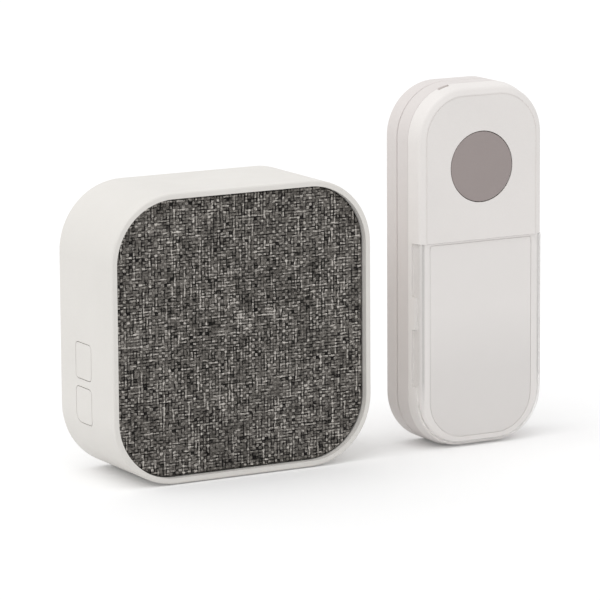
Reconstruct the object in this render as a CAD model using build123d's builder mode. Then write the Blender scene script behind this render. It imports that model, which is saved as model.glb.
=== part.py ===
"""Wireless doorbell set: a portable chime with a fabric front, and a bell push on its wall bracket.

Millimetres. X runs to the right, Y from the front to the back, Z up. The origin is on the floor, at the
middle of the set. Both units face -Y: the chime stands on the left, the push on the right.
"""

import os
from math import cos, radians, sin, sqrt

from build123d import *

os.makedirs("parts", exist_ok=True)

# Chime case
chime_side = 95.0
chime_corner = 22.4
case_wall = 1.9
case_front_round = 0.7
case_back_round = 1.0
foot_proud = 0.3

# Fabric front of the chime and the grille frame that it is stretched on
fabric_recess = 2.0
fabric_gap = 0.3
fabric_thick = 0.8
fabric_wrap = 0.6
fabric_round = 0.7
grille_thick = 2.0
grille_slot = 3.0
grille_pitch = 5.6
grille_slots = 9
grille_reach = 25.5
ledge_width = 3.0
ledge_thick = 1.6

# Speaker of the chime
speaker_height = 52.0
speaker_radius = 28.5
speaker_gasket_thick = 0.8
speaker_gasket_width = 3.0
speaker_flange = 0.9
speaker_cone_depth = 6.8
speaker_wall = 0.8
cone_radius = 22.4
cone_thick = 0.5
surround_radius = 1.3
coil_radius = 7.0
magnet_radius = 14.0
magnet_length = 6.4
speaker_room = 0.8
window_count = 6
window_width = 7.0
speaker_post = 2.0
speaker_screw = 1.0
speaker_screw_head = 2.9
speaker_screw_length = 2.9

# Back cover, battery bay and door of the chime
cover_gap = 0.15
cover_thick = 2.2
cover_inset = 0.3
cover_edge = 0.4
boss_radius = 3.5
boss_length = 7.8
cover_screw = 1.4
cover_screw_head = 2.7
cover_screw_length = 6.5
head_height = 1.3
head_recess = 0.1
thread_gap = 0.05
cell_length = 50.5
cell_radius = 7.25
cell_nub_radius = 2.7
cell_nub_length = 1.1
cell_space = 0.4
contact_room = 3.2
contact_thick = 0.4
contact_height = 8.0
contact_reach = 4.6
bay_bottom = 10.6
bay_wall = 1.5
bay_floor = 1.3
bay_clearance = 0.2
door_thick = 1.6
door_lap = 1.5
door_gap = 0.2
door_corner = 2.0
latch_width = 14.0
latch_length = 9.0
latch_slot = 0.8
thumb_radius = 5.0
thumb_depth = 0.6
keyhole_height = 70.0
keyhole_head = 4.0
keyhole_neck = 2.0
keyhole_travel = 7.0
keyhole_pocket = 3.4
keyhole_room = 0.6
keyhole_wall = 1.2

# Circuit board of the chime
board_thick = 1.6
board_width = 62.0
board_height = 24.0
board_middle = 72.0
board_depth = 24.0
board_post = 2.4
board_post_inset = 3.6
board_screw = 1.0
board_screw_head = 1.9
board_screw_length = 5.0

# Small parts on the main board: each one's place to the side and above the board's middle, then its size
main_chip_sizes = ((-7.0, 0.0, 9.0, 9.0, 1.2), (6.0, 2.0, 6.0, 5.0, 1.4), (6.0, -5.0, 5.0, 4.0, 1.1))
radio_size = (18.0, 0.0, 11.0, 14.0, 2.0)
socket_size = (-20.0, -2.0, 7.5, 5.0, 4.5)
chip_corner = 0.3
radio_corner = 0.6
capacitor_sides = (-16.0, -10.0)
capacitor_rise = 7.0
capacitor_radius = 2.5
capacitor_length = 5.4

# Two side buttons, low on the chime's left wall, and the switches behind them
side_button_wide = 10.9
side_button_high = 11.7
side_button_corner = 1.6
side_button_low_corner = 3.0
side_button_depth = 21.35
side_button_heights = {"upper": 38.95, "lower": 24.35}
side_button_gap = 0.25
side_button_travel = 0.6
side_flange = 0.8
side_flange_lap = 1.0
switch_size = 6.2
switch_thick = 3.4
switch_bore = 1.5
plunger_radius = 1.7
plunger_clearance = 0.08
plunger_length = 1.4
touch_gap = 0.05
side_board_width = 13.0
side_board_margin = 4.2
side_post = 2.2
fit_gap = 0.1

# Rubber strips under the chime
foot_length = 44.0
foot_width = 6.0
foot_thick = 1.0
foot_edge = 5.0

# Bell push: its outline, and its layers from the front to the wall
set_gap = 18.2
push_setback = 1.65
push_width = 49.6
push_height = 122.2
push_corner = 17.9
shoulder_inset = 1.15
bevel_width = 2.0
bevel_rise = 0.9
bevel_round = 0.5
shoulder_round = 1.6
parting_depth = 5.2
bracket_depth = 12.8
bracket_room = 0.6
parting_gap = 0.12
bracket_gap = 0.4
panel_groove = 0.3
panel_groove_depth = 0.15
shell_wall = 2.4
front_wall = 2.2
lip_length = 2.0
lip_gap = 0.15
rear_wall = 1.5
rear_floor = 1.5
rear_round = 0.4
bracket_wall = 1.8
bracket_floor = 2.2
bracket_round = 1.0
nest_gap = 0.3
nest_length = 4.6
wall_screw_spacing = 70.0
wall_screw_hole = 2.2
wall_screw_head = 3.8
wall_screw_angle = 90
peg_radius = 2.5
peg_side = 12.0
peg_height = 45.0
peg_gap = 0.2
pry_width = 4.2
pry_angle = 105
pry_height = 1.2
pry_length = 1.1

# Round button of the push
button_radius = 11.75
button_drop = 27.5
button_gap = 0.25
button_lap = 1.2
button_flange = 1.0
button_stem = 2.5
button_travel = 0.6
button_edge = 0.25

# Clear cover and name card on the lower half of the push
cover_top = 70.2
cover_proud = 0.25
cover_sunk = 0.55
cover_seat_gap = 0.1
cover_skirt = 1.2
tab_reach = 3.2
tab_ranges = ((22.0, 41.2), (52.4, cover_top))
card_width = 39.2
card_bottom = 3.9
card_top = 69.4
card_corner = 13.0
card_top_corner = 0.8
card_thick = 0.3
card_gap = 0.15

# Board, switch and coin cell of the push
push_board_depth = 8.5
push_board_width = 38.0
push_board_end = 15.1
push_board_corner = 10.0
push_post = 2.5
push_post_side = 14.5
push_post_low = 26.0
push_post_drop = 43.2
coin_radius = 10.0
coin_thick = 3.2
coin_rim = 0.6
coin_height = 50.0
holder_wall = 1.8
holder_floor = 0.6
holder_gap = 0.2
strap_width = 6.0
strap_thick = 0.4
strap_foot = 2.0
push_chip_sizes = ((-3.0, 27.0, 5.0, 5.0, 0.9), (5.0, 27.0, 3.2, 2.5, 0.8), (6.0, 72.0, 3.0, 3.0, 1.0))

# Places worked out from the sizes above. The chime's depth is what its contents need, one behind another
grille_depth = fabric_recess + fabric_thick
grille_back = grille_depth + grille_thick
grille_inset = case_wall + fabric_gap + fabric_wrap
flange_depth = grille_back + speaker_gasket_thick
flange_back = flange_depth + speaker_flange
surround_depth = flange_back - 3 * fit_gap
basket_mouth = cone_radius + 2 * surround_radius
cone_back = flange_back + speaker_cone_depth
bay_front = cone_back + magnet_length + speaker_room
cell_depth = bay_front + bay_floor + bay_clearance + cell_radius
door_seat = cell_depth + cell_radius + bay_clearance
cover_back = door_seat + door_thick
cover_front = cover_back - cover_thick
chime_depth = cover_back + cover_inset
set_width = chime_side + set_gap + push_width
chime_x = (chime_side - set_width) / 2
push_x = (set_width - push_width) / 2
chime_front = -chime_depth / 2
push_front = chime_front + push_setback
opening_corner = chime_corner - case_wall
bay_width = cell_length + 2 * contact_room
cell_pitch = 2 * cell_radius + cell_space
bay_height = 3 * cell_pitch
bay_middle = bay_bottom + bay_height / 2
corner_centre = chime_side / 2 - chime_corner
boss_place = corner_centre + (opening_corner - boss_radius + case_wall / 4) / sqrt(2)
speaker_post_ring = speaker_radius + 3 * fit_gap + speaker_post
cap_inner = case_wall + fit_gap
flange_inner = cap_inner + side_flange
plunger_stand = side_button_travel + 2 * fit_gap
switch_face = flange_inner + plunger_stand
side_board_face = switch_face + switch_thick
side_board_back = side_board_face + board_thick
side_hole_end = side_board_back - board_screw_length - thread_gap
side_board_mid = sum(side_button_heights.values()) / 2
side_button_pitch = side_button_heights["upper"] - side_button_heights["lower"]
side_post_spacing = side_button_pitch + side_button_high + 2 * (side_flange_lap + side_post + 3 * fit_gap)
side_board_height = side_post_spacing + side_board_margin
nest_inset = bracket_wall + nest_gap
rear_inset = nest_inset + rear_wall
rear_band_back = bracket_depth - bracket_gap
rear_back = rear_band_back + nest_length
rear_inner = rear_back - rear_floor
rear_front = parting_depth + parting_gap
push_depth = rear_back + bracket_room + bracket_floor
front_inner = front_wall - bevel_rise
cap_flange = front_inner + fit_gap
button_height = push_height - button_drop
pry_side = push_corner * (1 + cos(radians(pry_angle)))
pry_top = push_height - push_corner * (1 - sin(radians(pry_angle)))
push_plunger_stand = button_travel + 2 * fit_gap
stem_end = push_board_depth - switch_thick - push_plunger_stand
card_back = cover_sunk + cover_seat_gap - bevel_rise + card_thick + thread_gap
card_middle = (card_bottom + card_top) / 2
push_board_height = push_height - 2 * push_board_end
push_post_high = push_height - push_post_drop
push_post_middle = (push_post_low + push_post_high) / 2
push_post_spacing = push_post_high - push_post_low


def chime_plane(depth, side=0.0, height=chime_side / 2):
    """A plane that faces the front, at a depth behind the chime's front and a height above its base."""
    place = (chime_x + side, chime_front + depth, foot_proud + height)
    return Plane(origin=place, x_dir=(1, 0, 0), z_dir=(0, -1, 0))


def back_plane(depth, side, height):
    """A plane in the chime that faces the back."""
    place = (chime_x + side, chime_front + depth, foot_proud + height)
    return Plane(origin=place, x_dir=(-1, 0, 0), z_dir=(0, 1, 0))


def side_plane(inset, height, depth=side_button_depth):
    """A plane that faces left, at an inset from the chime's left wall."""
    place = (chime_x - chime_side / 2 + inset, chime_front + depth, foot_proud + height)
    return Plane(origin=place, x_dir=(0, -1, 0), z_dir=(-1, 0, 0))


def level_plane(height, side=0.0):
    """A level plane in the chime: local x to the right, local y the depth behind the front."""
    return Plane(origin=(chime_x + side, chime_front, foot_proud + height), x_dir=(1, 0, 0), z_dir=(0, 0, 1))


def push_plane(depth, side=0.0, height=push_height / 2):
    """A plane that faces the front, at a depth behind the push's front outline."""
    return Plane(origin=(push_x + side, push_front + depth, height), x_dir=(1, 0, 0), z_dir=(0, -1, 0))


def chime_outline(inset, mode=Mode.ADD):
    side = chime_side - 2 * inset
    RectangleRounded(side, side, chime_corner - inset, mode=mode)


def push_outline(inset, mode=Mode.ADD):
    RectangleRounded(push_width - 2 * inset, push_height - 2 * inset, push_corner - inset, mode=mode)


def side_inset(depth):
    """How far the tapered front shell stands inside the push's outline at a depth."""
    return shoulder_inset * (1 - depth / parting_depth)


def screw(plane, shaft, head, length):
    """A pan-head screw with a cross recess: its head stands on the plane, its shaft goes behind it."""
    with BuildPart() as made:
        with BuildSketch(plane):
            Circle(head)
        extrude(amount=head_height)
        fillet(made.faces().sort_by(Axis(plane.origin, plane.z_dir))[-1].edges(), head_height / 2)
        with BuildSketch(plane):
            Circle(shaft)
        extrude(amount=-length)
        with BuildSketch(plane.offset(head_height)):
            Rectangle(head, shaft / 2)
            Rectangle(shaft / 2, head)
        extrude(amount=-head_height / 2, mode=Mode.SUBTRACT)
    return made.part


def write(name, solid):
    """One finished piece in its own file."""
    solid.label = name
    export_step(solid, f"parts/{name}.step")


def group(name, solids):
    """Several small solids in one piece."""
    write(name, Compound(children=solids))


# Chime case: a square tube with large corners, a ledge behind the grille, bosses for the back cover,
# two holes and two posts for the side buttons, and two grooves for the rubber strips
boss_places = [
    chime_plane(cover_front, x * boss_place, chime_side / 2 + z * boss_place) for x in (-1, 1) for z in (-1, 1)
]
side_posts = [side_board_mid + z * side_post_spacing / 2 for z in (-1, 1)]
foot_depths = (foot_edge + foot_width / 2, chime_depth - foot_edge - foot_width / 2)


def button_profile(grow, low):
    """The outline of a side button; the lower button's back corner at the bottom is rounder."""
    with BuildSketch(mode=Mode.PRIVATE) as made:
        Rectangle(side_button_wide + 2 * grow, side_button_high + 2 * grow)
        back_bottom = made.vertices().sort_by_distance((-side_button_wide, -side_button_high))[:1]
        others = [corner for corner in made.vertices() if corner not in back_bottom]
        fillet(others, side_button_corner + grow)
        left = made.vertices().sort_by_distance((-side_button_wide, -side_button_high))[:1]
        fillet(left, (side_button_low_corner if low else side_button_corner) + grow)
    return made.sketch


with BuildPart() as side_post_pair:
    for height in side_posts:
        with BuildSketch(side_plane(0, height)):
            Circle(side_post)
        extrude(amount=-side_board_face)
    with BuildSketch(chime_plane(0)):
        chime_outline(case_wall / 2)
    extrude(amount=-chime_depth, mode=Mode.INTERSECT)

with BuildPart() as case_shell:
    with BuildSketch(chime_plane(0)):
        chime_outline(0)
    extrude(amount=-chime_depth)
    fillet(case_shell.faces().sort_by(Axis.Y)[0].edges(), case_front_round)
    fillet(case_shell.faces().sort_by(Axis.Y)[-1].edges(), case_back_round)
    with BuildSketch(chime_plane(0)):
        chime_outline(case_wall)
    extrude(amount=-chime_depth, mode=Mode.SUBTRACT)
    with BuildSketch(chime_plane(grille_back)):
        chime_outline(case_wall / 2)
        chime_outline(case_wall + ledge_width, mode=Mode.SUBTRACT)
    extrude(amount=-ledge_thick)
    for plane in boss_places:
        with BuildSketch(plane):
            Circle(boss_radius)
        extrude(amount=boss_length)
        with BuildSketch(plane):
            Circle(cover_screw + thread_gap)
        extrude(amount=cover_screw_length + thread_gap, mode=Mode.SUBTRACT)
    add(side_post_pair.part)
    for height in side_posts:
        with BuildSketch(side_plane(side_board_face, height)):
            Circle(board_screw + thread_gap)
        extrude(amount=side_board_face - side_hole_end, mode=Mode.SUBTRACT)
    for name, height in side_button_heights.items():
        with BuildSketch(side_plane(0, height)):
            add(button_profile(side_button_gap, name == "lower"))
        extrude(amount=-2 * case_wall, both=True, mode=Mode.SUBTRACT)
    for depth in foot_depths:
        with BuildSketch(Plane(origin=(chime_x, chime_front + depth, foot_thick))):
            SlotOverall(foot_length + 2 * fit_gap, foot_width + 2 * fit_gap)
        extrude(amount=-foot_thick, mode=Mode.SUBTRACT)
write("case_shell", case_shell.part)

with BuildPart() as foot_strips:
    for depth in foot_depths:
        with BuildSketch(Plane(origin=(chime_x, chime_front + depth, 0))):
            SlotOverall(foot_length, foot_width)
        extrude(amount=foot_thick)
write("foot_strips", foot_strips.part)


# Fabric front: cloth stretched over the grille frame and wrapped round its edge
with BuildPart() as fabric_front:
    with BuildSketch(chime_plane(fabric_recess)):
        chime_outline(case_wall + fabric_gap)
    extrude(amount=-fabric_thick - grille_thick)
    fillet(fabric_front.faces().sort_by(Axis.Y)[0].edges(), fabric_round)
    with BuildSketch(chime_plane(grille_depth)):
        chime_outline(grille_inset)
    extrude(amount=-grille_thick, mode=Mode.SUBTRACT)
write("fabric_front", fabric_front.part)

speaker_posts = [
    (speaker_post_ring * cos(radians(angle)), speaker_height + speaker_post_ring * sin(radians(angle)))
    for angle in range(45, 360, 90)
]
with BuildPart() as grille_frame:
    with BuildSketch(chime_plane(grille_depth)):
        chime_outline(grille_inset)
    extrude(amount=-grille_thick)
    with BuildSketch(chime_plane(grille_depth, 0, speaker_height)):
        for row in range(grille_slots):
            rise = (row - (grille_slots - 1) / 2) * grille_pitch
            with Locations((0, rise)):
                SlotOverall(2 * sqrt(grille_reach**2 - rise**2), grille_slot)
    extrude(amount=-grille_thick, mode=Mode.SUBTRACT)
    for side, height in speaker_posts:
        with BuildSketch(chime_plane(grille_back, side, height)):
            Circle(speaker_post)
        extrude(amount=-speaker_gasket_thick - speaker_flange)
        with BuildSketch(chime_plane(flange_back, side, height)):
            Circle(speaker_screw + thread_gap)
        extrude(amount=speaker_screw_length + thread_gap, mode=Mode.SUBTRACT)
write("grille_frame", grille_frame.part)


# Speaker: gasket, pressed basket with windows, roll surround, cone, dust cap with its coil, magnet
speaker_section = level_plane(speaker_height)
speaker_axis = Axis(speaker_section.origin, (0, 1, 0))

with BuildPart() as speaker_gasket:
    with BuildSketch(chime_plane(grille_back, 0, speaker_height)):
        Circle(speaker_radius)
        Circle(speaker_radius - speaker_gasket_width, mode=Mode.SUBTRACT)
    extrude(amount=-speaker_gasket_thick)
write("speaker_gasket", speaker_gasket.part)

with BuildPart() as speaker_basket:
    with BuildSketch(speaker_section):
        with BuildLine():
            Polyline(
                (speaker_radius, flange_depth),
                (speaker_radius, flange_back),
                (basket_mouth + speaker_wall, flange_back),
                (magnet_radius + 2 * speaker_wall, cone_back),
                (coil_radius + 2 * speaker_wall, cone_back),
                (coil_radius + 2 * speaker_wall, cone_back - speaker_wall),
                (magnet_radius + speaker_wall, cone_back - speaker_wall),
                (basket_mouth, flange_back - fit_gap),
                (basket_mouth, flange_depth),
                close=True,
            )
        make_face()
    revolve(axis=speaker_axis)
    with BuildSketch(chime_plane(flange_back + speaker_wall, 0, speaker_height)):
        with PolarLocations((magnet_radius + speaker_radius) / 2, window_count):
            RectangleRounded(window_width, window_width, speaker_wall)
    extrude(amount=-speaker_cone_depth + 2 * speaker_wall, mode=Mode.SUBTRACT)
write("speaker_basket", speaker_basket.part)

surround_ring = cone_radius + surround_radius
with BuildPart() as speaker_surround:
    with BuildSketch(speaker_section):
        with Locations((surround_ring, surround_depth)):
            Circle(surround_radius)
            Circle(surround_radius - cone_thick, mode=Mode.SUBTRACT)
        with Locations((surround_ring, surround_depth + surround_radius)):
            Rectangle(4 * surround_radius, 2 * surround_radius, mode=Mode.SUBTRACT)
    revolve(axis=speaker_axis)
write("speaker_surround", speaker_surround.part)

cone_end = cone_back - 2 * speaker_wall
cone_bulge = ((cone_radius + coil_radius) / 2, (surround_depth + cone_end) / 2 + cone_thick)
with BuildPart() as speaker_cone:
    with BuildSketch(speaker_section):
        with BuildLine():
            rim = (cone_radius, surround_depth)
            neck = (coil_radius + fit_gap, cone_end)
            Line(rim, (rim[0], rim[1] + cone_thick))
            ThreePointArc(
                (rim[0], rim[1] + cone_thick),
                (cone_bulge[0], cone_bulge[1] + cone_thick),
                (neck[0], neck[1] + cone_thick),
            )
            Line((neck[0], neck[1] + cone_thick), neck)
            ThreePointArc(neck, cone_bulge, rim)
        make_face()
    revolve(axis=speaker_axis)
write("speaker_cone", speaker_cone.part)

cap_rise = coil_radius / 3.5


def dome_middle(radius, rise):
    """A point half way along a dome's arc, whose centre lies on the speaker's axis."""
    ball = (radius**2 + rise**2) / (2 * rise)
    return radius / 2, cone_end - rise + ball - sqrt(ball**2 - radius**2 / 4)


with BuildPart() as dust_cap:
    with BuildSketch(speaker_section):
        with BuildLine():
            top = (0, cone_end - cap_rise)
            edge = (coil_radius, cone_end)
            inner_edge = (coil_radius - cone_thick, cone_end)
            inner_top = (0, cone_end - cap_rise + cone_thick)
            ThreePointArc(top, dome_middle(coil_radius, cap_rise), edge)
            Line(edge, (edge[0], cone_back + speaker_wall))
            Line((edge[0], cone_back + speaker_wall), (inner_edge[0], cone_back + speaker_wall))
            Line((inner_edge[0], cone_back + speaker_wall), inner_edge)
            ThreePointArc(inner_edge, dome_middle(coil_radius - cone_thick, cap_rise - cone_thick), inner_top)
            Line(inner_top, top)
        make_face()
    revolve(axis=speaker_axis)
write("dust_cap", dust_cap.part)

with BuildPart() as speaker_magnet:
    with BuildSketch(speaker_section):
        with BuildLine():
            Polyline(
                (0, cone_back),
                (coil_radius - 2 * cone_thick, cone_back),
                (coil_radius - 2 * cone_thick, cone_back + magnet_length - 2 * speaker_wall),
                (coil_radius + cone_thick, cone_back + magnet_length - 2 * speaker_wall),
                (coil_radius + cone_thick, cone_back),
                (magnet_radius, cone_back),
                (magnet_radius, cone_back + magnet_length),
                (0, cone_back + magnet_length),
                close=True,
            )
        make_face()
    revolve(axis=speaker_axis)
    fillet(speaker_magnet.faces().sort_by(Axis.Y)[-1].edges(), speaker_wall)
write("speaker_magnet", speaker_magnet.part)

group(
    "speaker_screws",
    [
        screw(back_plane(flange_back, side, height), speaker_screw, speaker_screw_head, speaker_screw_length)
        for side, height in speaker_posts
    ],
)


# Side buttons: a cap in the case's wall with a flange behind it, a switch and its plunger, on one board
def cap_on_side(height, low):
    """A cap that follows the case's outside, with a flange that follows the wall's inside."""
    with BuildPart() as made:
        with BuildSketch(side_plane(0, height)):
            add(button_profile(side_flange_lap, low))
        extrude(amount=-flange_inner)
        with BuildSketch(chime_plane(0)):
            chime_outline(cap_inner)
        extrude(amount=-chime_depth, mode=Mode.INTERSECT)
        with BuildSketch(side_plane(0, height)):
            add(button_profile(0, low))
        extrude(amount=-flange_inner)
        with BuildSketch(chime_plane(0)):
            chime_outline(0)
        extrude(amount=-chime_depth, mode=Mode.INTERSECT)
    return made.part


def tact_switch(plane):
    """A square switch body that stands on the plane, with a bore for its plunger."""
    with BuildPart() as made:
        with BuildSketch(plane):
            Rectangle(switch_size, switch_size)
        extrude(amount=switch_thick)
        fillet(made.edges().filter_by(Axis(plane.origin, plane.z_dir)), switch_bore / 5)
        with BuildSketch(plane.offset(switch_thick)):
            Circle(plunger_radius + plunger_clearance)
        extrude(amount=-switch_bore, mode=Mode.SUBTRACT)
    return made.part


def plunger(plane, stand):
    """A plunger that stands out of the switch's face by a stand."""
    with BuildPart() as made:
        with BuildSketch(plane.offset(stand)):
            Circle(plunger_radius)
        extrude(amount=-plunger_length)
    return made.part


for name, height in side_button_heights.items():
    write(f"{name}_side_button", cap_on_side(height, name == "lower"))
    write(f"{name}_side_switch", tact_switch(side_plane(side_board_face, height)))
    write(f"{name}_side_plunger", plunger(side_plane(switch_face, height), plunger_stand - touch_gap))

with BuildPart() as side_board:
    with BuildSketch(side_plane(side_board_face, side_board_mid)):
        RectangleRounded(side_board_width, side_board_height, side_button_corner)
        with Locations((0, side_post_spacing / 2), (0, -side_post_spacing / 2)):
            Circle(board_screw + fit_gap, mode=Mode.SUBTRACT)
    extrude(amount=-board_thick)
write("side_board", side_board.part)

side_screw_planes = []
for height in side_posts:
    seat = side_plane(side_board_back, height)
    side_screw_planes.append(Plane(origin=seat.origin, x_dir=(0, 1, 0), z_dir=(1, 0, 0)))
group(
    "side_board_screws",
    [screw(plane, board_screw, board_screw_head, board_screw_length) for plane in side_screw_planes],
)


# Back cover: a plate in the case's opening with the battery tub, posts for the board, and a keyhole
board_posts = [
    (x * (board_width / 2 - board_post_inset), board_middle + z * (board_height / 2 - board_post_inset))
    for x in (-1, 1)
    for z in (-1, 1)
]
board_back = board_depth + board_thick
with BuildPart() as back_cover:
    with BuildSketch(chime_plane(cover_front)):
        chime_outline(case_wall + cover_gap)
    extrude(amount=-cover_thick)
    chamfer(back_cover.faces().sort_by(Axis.Y)[-1].edges(), cover_edge)
    with BuildSketch(chime_plane(bay_front, 0, bay_middle)):
        RectangleRounded(bay_width + 2 * bay_wall, bay_height + 2 * bay_wall, bay_wall)
    extrude(amount=bay_front - cover_front)
    with BuildSketch(chime_plane(bay_front + bay_floor, 0, bay_middle)):
        Rectangle(bay_width, bay_height)
    extrude(amount=-chime_depth, mode=Mode.SUBTRACT)
    with BuildSketch(chime_plane(door_seat, 0, bay_middle)):
        RectangleRounded(bay_width + 2 * door_lap, bay_height + 2 * door_lap, door_corner)
    extrude(amount=-chime_depth, mode=Mode.SUBTRACT)
    for side, height in board_posts:
        with BuildSketch(chime_plane(board_back, side, height)):
            Circle(board_post)
        extrude(amount=board_back - cover_front)
        with BuildSketch(chime_plane(board_back, side, height)):
            Circle(board_screw + thread_gap)
        extrude(amount=-board_screw_length - thread_gap, mode=Mode.SUBTRACT)
    pocket_front = cover_front - keyhole_pocket
    with BuildSketch(chime_plane(pocket_front, 0, keyhole_height + keyhole_travel / 2)):
        SlotCenterToCenter(keyhole_travel, 2 * (keyhole_head + keyhole_room + keyhole_wall), rotation=90)
    extrude(amount=-keyhole_pocket)
    with BuildSketch(chime_plane(pocket_front + keyhole_wall, 0, keyhole_height + keyhole_travel / 2)):
        SlotCenterToCenter(keyhole_travel, 2 * (keyhole_head + keyhole_room), rotation=90)
    extrude(amount=keyhole_wall - keyhole_pocket, mode=Mode.SUBTRACT)
    with BuildSketch(chime_plane(cover_front, 0, keyhole_height)):
        Circle(keyhole_head)
        with Locations((0, keyhole_travel / 2)):
            SlotCenterToCenter(keyhole_travel, 2 * keyhole_neck, rotation=90)
    extrude(amount=-cover_thick, mode=Mode.SUBTRACT)
    for plane in boss_places:
        with BuildSketch(plane):
            Circle(cover_screw + fit_gap)
        extrude(amount=-cover_thick, mode=Mode.SUBTRACT)
        with BuildSketch(plane.offset(-cover_thick)):
            Circle(cover_screw_head + fit_gap)
        extrude(amount=head_height + head_recess, mode=Mode.SUBTRACT)
write("back_cover", back_cover.part)

screw_seat = cover_back - head_height - head_recess
group(
    "cover_screws",
    [
        screw(
            back_plane(screw_seat, x * boss_place, chime_side / 2 + z * boss_place),
            cover_screw,
            cover_screw_head,
            cover_screw_length,
        )
        for x in (-1, 1)
        for z in (-1, 1)
    ],
)

door_wide = bay_width + 2 * (door_lap - door_gap)
door_high = bay_height + 2 * (door_lap - door_gap)
latch_rise = door_high / 2 - latch_length / 2
latch_side = (latch_width + latch_slot) / 2
with BuildPart() as battery_door:
    with BuildSketch(chime_plane(door_seat, 0, bay_middle)):
        RectangleRounded(door_wide, door_high, door_corner - door_gap)
    extrude(amount=-door_thick)
    with BuildSketch(chime_plane(door_seat, 0, bay_middle)):
        with Locations((latch_side, latch_rise), (-latch_side, latch_rise)):
            Rectangle(latch_slot, latch_length)
    extrude(amount=-door_thick, mode=Mode.SUBTRACT)
    with BuildSketch(chime_plane(cover_back, 0, bay_middle)):
        with Locations((0, latch_rise)):
            SlotOverall(2 * thumb_radius, thumb_radius)
    extrude(amount=thumb_depth, mode=Mode.SUBTRACT)
write("battery_door", battery_door.part)


# Three AA cells across the bay, turned in opposite ways, with bowed contact strips at their ends
cell_names = ("lower_cell", "middle_cell", "upper_cell")
cell_heights = [bay_middle + (row - 1) * cell_pitch for row in range(3)]
for row, (name, height) in enumerate(zip(cell_names, cell_heights)):
    turn = 1 if row % 2 else -1
    place = (chime_x - turn * cell_length / 2, chime_front + cell_depth, foot_proud + height)
    end = Plane(origin=place, x_dir=(0, 1, 0), z_dir=(turn, 0, 0))
    with BuildPart() as cell:
        with BuildSketch(end):
            Circle(cell_radius)
        extrude(amount=cell_length - cell_nub_length)
        fillet(cell.edges(), cell_nub_length / 2)
        with BuildSketch(end.offset(cell_length - cell_nub_length)):
            Circle(cell_nub_radius)
        extrude(amount=cell_nub_length)
    write(name, cell.part)

contact_bow = contact_room - 2 * fit_gap
contact_ball = (contact_reach**2 + contact_bow**2) / (2 * contact_bow)
for name, way in (("left_contacts", -1), ("right_contacts", 1)):
    strips = []
    wall = way * (bay_width / 2 - fit_gap)
    bow_centre = way * (cell_length / 2 + fit_gap + contact_ball)
    for height in cell_heights:
        with BuildPart() as strip:
            with BuildSketch(level_plane(height - contact_height / 2)):
                with Locations((bow_centre, cell_depth)):
                    Circle(contact_ball)
                    Circle(contact_ball - contact_thick, mode=Mode.SUBTRACT)
                with Locations((wall + way * contact_ball, cell_depth)):
                    Rectangle(2 * contact_ball, 3 * contact_ball, mode=Mode.SUBTRACT)
                with Locations((wall - way * contact_thick / 2, cell_depth)):
                    Rectangle(contact_thick, 2 * contact_reach)
            extrude(amount=contact_height)
        strips.append(strip.part)
    group(name, strips)


# Main board on its four posts, with its chips, radio module, capacitors and screws
with BuildPart() as main_board:
    with BuildSketch(chime_plane(board_depth, 0, board_middle)):
        RectangleRounded(board_width, board_height, side_button_corner)
        with GridLocations(board_width - 2 * board_post_inset, board_height - 2 * board_post_inset, 2, 2):
            Circle(board_screw + fit_gap, mode=Mode.SUBTRACT)
    extrude(amount=-board_thick)
write("main_board", main_board.part)

group(
    "main_board_screws",
    [
        screw(chime_plane(board_depth, side, height), board_screw, board_screw_head, board_screw_length)
        for side, height in board_posts
    ],
)


def block(plane, wide, high, thick, corner):
    """A flat part with rounded corners that stands on a plane."""
    with BuildPart() as made:
        with BuildSketch(plane):
            RectangleRounded(wide, high, corner)
        extrude(amount=thick)
    return made.part


def barrel(plane, radius, length):
    """An upright round part that stands on a plane."""
    with BuildPart() as made:
        with BuildSketch(plane):
            Circle(radius)
        extrude(amount=length)
        fillet(made.faces().sort_by(Axis(plane.origin, plane.z_dir))[-1].edges(), radius / 8)
    return made.part


group(
    "main_board_chips",
    [
        block(chime_plane(board_depth, side, board_middle + rise), *size, chip_corner)
        for side, rise, *size in main_chip_sizes
    ],
)
side, rise, *size = radio_size
write("radio_module", block(chime_plane(board_depth, side, board_middle + rise), *size, radio_corner))
group(
    "capacitors",
    [
        barrel(back_plane(board_back, side, board_middle + capacitor_rise), capacitor_radius, capacitor_length)
        for side in capacitor_sides
    ],
)
side, rise, *size = socket_size
write("speaker_socket", block(chime_plane(board_depth, side, board_middle + rise), *size, radio_corner))


# Bell push. The wall bracket is a tray with two screw holes on an upright line and four low stops
with BuildPart() as wall_bracket:
    with BuildSketch(push_plane(bracket_depth)):
        push_outline(0)
    extrude(amount=bracket_depth - push_depth)
    fillet(wall_bracket.faces().sort_by(Axis.Y)[-1].edges(), bracket_round)
    fillet(wall_bracket.faces().sort_by(Axis.Y)[0].edges(), rear_round)
    with BuildSketch(push_plane(bracket_depth)):
        push_outline(bracket_wall)
    extrude(amount=bracket_depth - push_depth + bracket_floor, mode=Mode.SUBTRACT)
    with BuildSketch(push_plane(push_depth - bracket_floor)):
        with GridLocations(2 * peg_side, 2 * peg_height, 2, 2):
            Circle(peg_radius)
    extrude(amount=push_depth - bracket_floor - rear_back - peg_gap)
    with Locations(push_plane(push_depth - bracket_floor)):
        with GridLocations(0, wall_screw_spacing, 1, 2):
            CounterSinkHole(wall_screw_hole, wall_screw_head, counter_sink_angle=wall_screw_angle)
write("wall_bracket", wall_bracket.part)

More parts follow.
